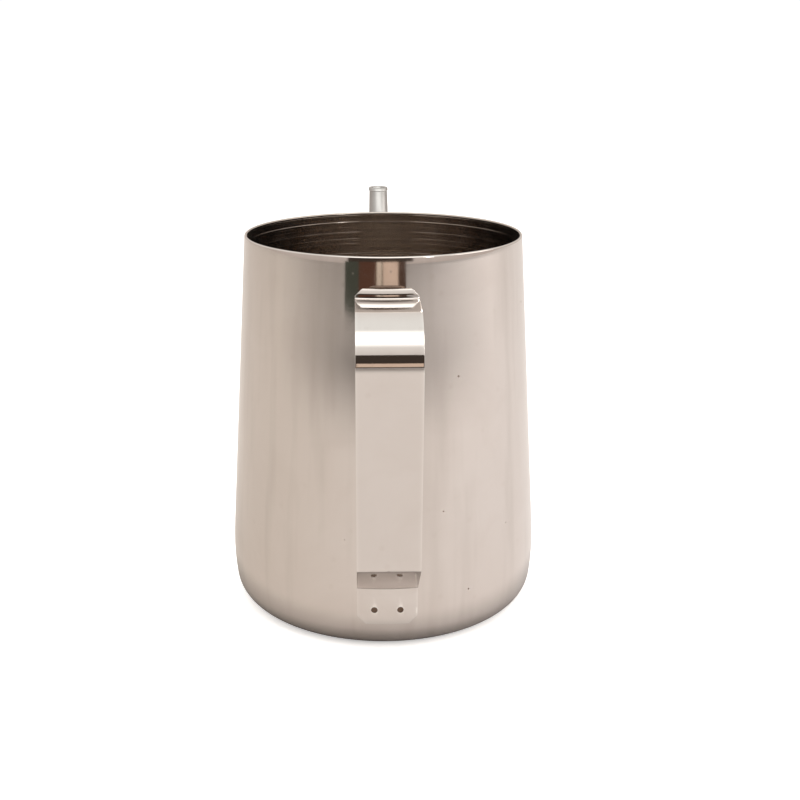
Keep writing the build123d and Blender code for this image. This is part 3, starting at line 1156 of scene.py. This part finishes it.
def paper_tone(tree):
    """The table's tone round the cup, with painted light and shade: lighter towards the window side, a
    painted shadow far off on the handle's side, and painted contact shade close to the cup.
    """
    axes = node(tree, "ShaderNodeSeparateXYZ")
    tree.links.new(place_on_piece(tree), axes.inputs[0])
    x = axes.outputs["X"]
    y = axes.outputs["Y"]
    square = maths(tree, "ADD", maths(tree, "MULTIPLY", x, x), maths(tree, "MULTIPLY", y, y))
    away = maths(tree, "SQRT", square)
    sideways = maths(tree, "DIVIDE", y, away)
    # Painted light and shade: the lit tone on the window side, the shaded tone on the other side.
    to_shade = weighted_sum(tree, 0.5, (sideways, 0.5))
    tone = blend_colour(tree, to_shade, WINDOW_LIT_SIDE, SHADED_SIDE)
    # Painted shadow, far off on the handle's side.
    backwards = maths(tree, "MULTIPLY", maths(tree, "DIVIDE", x, away), -1.0)
    far = maths(tree, "MULTIPLY", maths(tree, "MAXIMUM", backwards, 0.0), smooth_step(tree, away, FAR_BAND))
    kept = weighted_sum(tree, 1.0, (far, -FAR_PAINTED_SHADOW))
    # Painted contact shade, close to the cup.
    near = weighted_sum(tree, CONTACT_SHADE, (smooth_step(tree, away, CONTACT_BAND), 1.0 - CONTACT_SHADE))
    level = maths(tree, "MULTIPLY", kept, near)
    made = node(tree, "ShaderNodeVectorMath", operation="SCALE")
    tree.links.new(tone, made.inputs[0])
    tree.links.new(level, made.inputs["Scale"])
    return made.outputs[0]


def show_to_camera(tree, reflected, seen, leaving):
    """One look for reflections and light, and another one straight to the camera."""
    choose = node(tree, "ShaderNodeMixShader")
    ray = node(tree, "ShaderNodeLightPath")
    tree.links.new(ray.outputs["Is Camera Ray"], choose.inputs["Fac"])
    tree.links.new(reflected, choose.inputs[1])
    tree.links.new(seen, choose.inputs[2])
    tree.links.new(choose.outputs[0], leaving.inputs["Surface"])


def make_floor():
    """A wide pale floor. The camera sees it white; in the steel it shows as warm paper with painted light and
    shade.
    """
    deselect()
    bpy.ops.mesh.primitive_grid_add(
        x_subdivisions=2, y_subdivisions=2, size=FLOOR_SIZE, location=(0, 0, -FLOOR_DROP))
    floor = bpy.context.object
    floor.name = "floor"
    settle()
    material = bpy.data.materials.new("pale_floor")
    material.use_nodes = True
    tree = material.node_tree
    tree.nodes.remove(tree.nodes["Principled BSDF"])
    paper = node(tree, "ShaderNodeBsdfDiffuse")
    tree.links.new(paper_tone(tree), paper.inputs["Color"])
    white = node(tree, "ShaderNodeBsdfDiffuse")
    white.inputs["Color"].default_value = (SEEN_FLOOR, SEEN_FLOOR, SEEN_FLOOR, 1)
    lift = node(tree, "ShaderNodeEmission")
    lift.inputs["Color"].default_value = (1, 1, 1, 1)
    lift.inputs["Strength"].default_value = SEEN_FLOOR_LIFT
    both = node(tree, "ShaderNodeAddShader")
    tree.links.new(white.outputs[0], both.inputs[0])
    tree.links.new(lift.outputs[0], both.inputs[1])
    show_to_camera(tree, paper.outputs[0], both.outputs[0], tree.nodes["Material Output"])
    floor.data.materials.append(material)


def make_world():
    """A soft room: dim and warm at the horizon, bright overhead. The camera sees plain white."""
    world = bpy.data.worlds.new("soft_room")
    bpy.context.scene.world = world
    world.use_nodes = True
    tree = world.node_tree
    tree.nodes.clear()
    leaving = node(tree, "ShaderNodeOutputWorld")
    way = node(tree, "ShaderNodeTexCoord")
    axes = node(tree, "ShaderNodeSeparateXYZ")
    tree.links.new(way.outputs["Generated"], axes.inputs[0])
    room = node(tree, "ShaderNodeBackground")
    tree.links.new(colour_stops(tree, axes.outputs["Z"], ROOM_COLOURS), room.inputs["Color"])
    room.inputs["Strength"].default_value = 1.0
    white = node(tree, "ShaderNodeBackground")
    white.inputs["Color"].default_value = (1, 1, 1, 1)
    white.inputs["Strength"].default_value = SEEN_ROOM
    show_to_camera(tree, room.outputs[0], white.outputs[0], leaving)


def soft_light(name, place, towards, width, height, radiance, colour):
    """A rectangular area light of an even brightness."""
    data = bpy.data.lights.new(name, "AREA")
    data.shape = "RECTANGLE"
    data.size = width
    data.size_y = height
    data.energy = radiance * pi * width * height
    data.color = colour
    light = bpy.data.objects.new(name, data)
    light.location = place
    light.rotation_euler = aimed(place, towards)
    bpy.context.scene.collection.objects.link(light)
    light.visible_camera = False
    return light


def make_studio():
    """Floor, room, lights, and the dark figure-sized boards that polished steel needs in front of it."""
    make_world()
    make_floor()
    soft_board("overhead", (-0.62, 0.0, 1.16), (-0.06, 0, 0.09), 2.2, 1.05, 0.85, (1.0, 0.99, 0.96), 2.85)
    soft_light("side_window", (-0.30, -1.70, 0.95), (0, 0, 0), 1.3, 0.9, 1.3, (1.0, 0.96, 0.92))
    soft_light("narrow_window", (-1.20, -0.89, 0.85), (0, 0, 0.1), 0.16, 0.70, 8.0, (1.0, 0.98, 0.95))
    for name, (right, left, bottom, top, colour) in PERSON.items():
        board(name, PERSON_X, right, left, bottom, top, colour)


def make_camera():
    """The camera: behind the handle, looking down on the cup a little."""
    data = bpy.data.cameras.new("camera")
    data.lens = LENS
    data.sensor_width = SENSOR
    data.shift_x = FRAME_SHIFT
    data.clip_start = 0.01
    data.clip_end = 50
    camera = bpy.data.objects.new("camera", data)
    x = -CAMERA_DISTANCE * cos(CAMERA_TURN)
    y = CAMERA_DISTANCE * sin(CAMERA_TURN)
    camera.location = (x, y, CAMERA_HEIGHT)
    camera.rotation_euler = Euler((pi / 2 - CAMERA_DOWN, 0, -pi / 2 - CAMERA_TURN), "XYZ")
    bpy.context.scene.collection.objects.link(camera)
    bpy.context.scene.camera = camera


def set_up_render():
    """Plain colour response, and enough bounces for light to get into the cup and out again."""
    scene = bpy.context.scene
    scene.view_settings.view_transform = "Standard"
    scene.view_settings.look = "None"
    scene.cycles.max_bounces = 16
    scene.cycles.glossy_bounces = 14
    scene.cycles.diffuse_bounces = 3
    scene.cycles.blur_glossy = 0.2
    scene.cycles.seed = 1


# ---------------------------------------------------------------- assembly

def finish_piece(piece, name, node_name, slot, *materials):
    """Names a piece, gives it its materials, and lets it stand for its CAD node."""
    piece.name = name
    piece.data.materials.clear()
    for material in materials:
        piece.data.materials.append(material)
    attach(piece, "root")
    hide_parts(node_name)


def make_groups():
    """The effects that several finishes share."""
    return {
        "rings": turning_marks_group(),
        "scratches": scratches_group(),
        "smudges": smudges_group(),
        "specks": specks_group(),
        "edges": edges_group(),
    }


def make_pitcher():
    """Every piece, with its finish."""
    groups = make_groups()
    burnt = burnt_weld(groups)
    cup = make_cup()
    finish_piece(cup, "cup_wall", "body_shell", "wall_steel", polished_wall(groups), turned_inside(groups))
    for face in cup.data.polygons:
        face.material_index = 1 if is_inside(face) else 0
    finish_piece(make_strap(), "strap_handle", "handle_strap", "strap_steel", polished_strap(groups))
    finish_piece(make_spot_welds(), "foot_spots", "handle_foot_spot_welds", "weld_metal", burnt)
    finish_piece(make_lip_bead(), "lip_bead", "handle_top_weld", "weld_metal", burnt)
    finish_piece(make_spout(), "gooseneck_tube", "spout_tube", "tube_steel", satin_tube(groups))
    finish_piece(make_root_weld(), "root_weld_bead", "spout_root_weld", "bead_metal", buffed_bead(groups))


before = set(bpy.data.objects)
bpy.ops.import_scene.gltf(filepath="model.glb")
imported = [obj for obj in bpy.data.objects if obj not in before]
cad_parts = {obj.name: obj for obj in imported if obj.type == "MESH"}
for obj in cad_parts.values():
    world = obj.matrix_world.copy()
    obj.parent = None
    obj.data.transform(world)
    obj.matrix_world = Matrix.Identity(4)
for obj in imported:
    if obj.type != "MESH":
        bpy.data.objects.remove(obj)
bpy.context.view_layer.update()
make_pitcher()
make_studio()
make_camera()
set_up_render()
